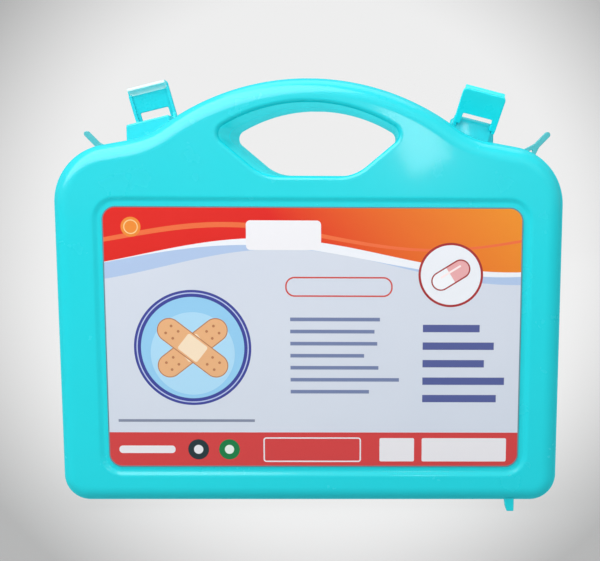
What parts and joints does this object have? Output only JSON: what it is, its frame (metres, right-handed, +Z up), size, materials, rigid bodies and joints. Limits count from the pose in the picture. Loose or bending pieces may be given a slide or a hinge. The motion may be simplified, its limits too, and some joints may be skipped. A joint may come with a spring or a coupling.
{
  "type": "toy doctor case",
  "caption": "Hinged toy doctor case with a handle arch on top, a finger hole, flap latches, a recessed picture label and an inner tray.",
  "frame": {"origin": "centre of the case's footprint, on the surface that it stands on", "axes": "+Z up, -Y towards the labelled front half, +X across the case to the viewer's right"},
  "size_m": [0.26, 0.075, 0.2275],
  "materials": {
    "shell": "glossy moulded polypropylene",
    "latch": "glossy moulded polypropylene",
    "label": "printed film, semi-gloss",
    "tray": "thermoformed sheet",
    "pin": "drawn wire"
  },
  "bodies": {
    "rear_half": {"rear_shell": "shell", "rear_label": "label", "instrument_tray": "tray", "latch_pin_left": "pin", "hinge_pin_left": "pin", "hinge_pin_right": "pin"},
    "front_half": {"front_shell": "shell", "front_label": "label", "latch_pin_right": "pin"},
    "latch_left": {"latch_left": "latch"},
    "latch_right": {"latch_right": "latch"}
  },
  "joints": [
    {"name": "case_hinge", "type": "hinge", "parent": "rear_half", "child": "front_half", "pos_m": [0, 0, 0.0024], "axis": [1, 0, 0], "range_deg": [0, 180]},
    {"name": "latch_left_pivot", "type": "hinge", "parent": "rear_half", "child": "latch_left", "pos_m": [-0.0859, 0.0084, 0.20334], "axis": [0.9703, 0, 0.2419], "range_deg": [-41, 84]},
    {"name": "latch_right_pivot", "type": "hinge", "parent": "front_half", "child": "latch_right", "pos_m": [0.0859, -0.0084, 0.20334], "axis": [-0.9703, 0, 0.2419], "range_deg": [-1, 124]}
  ]
}
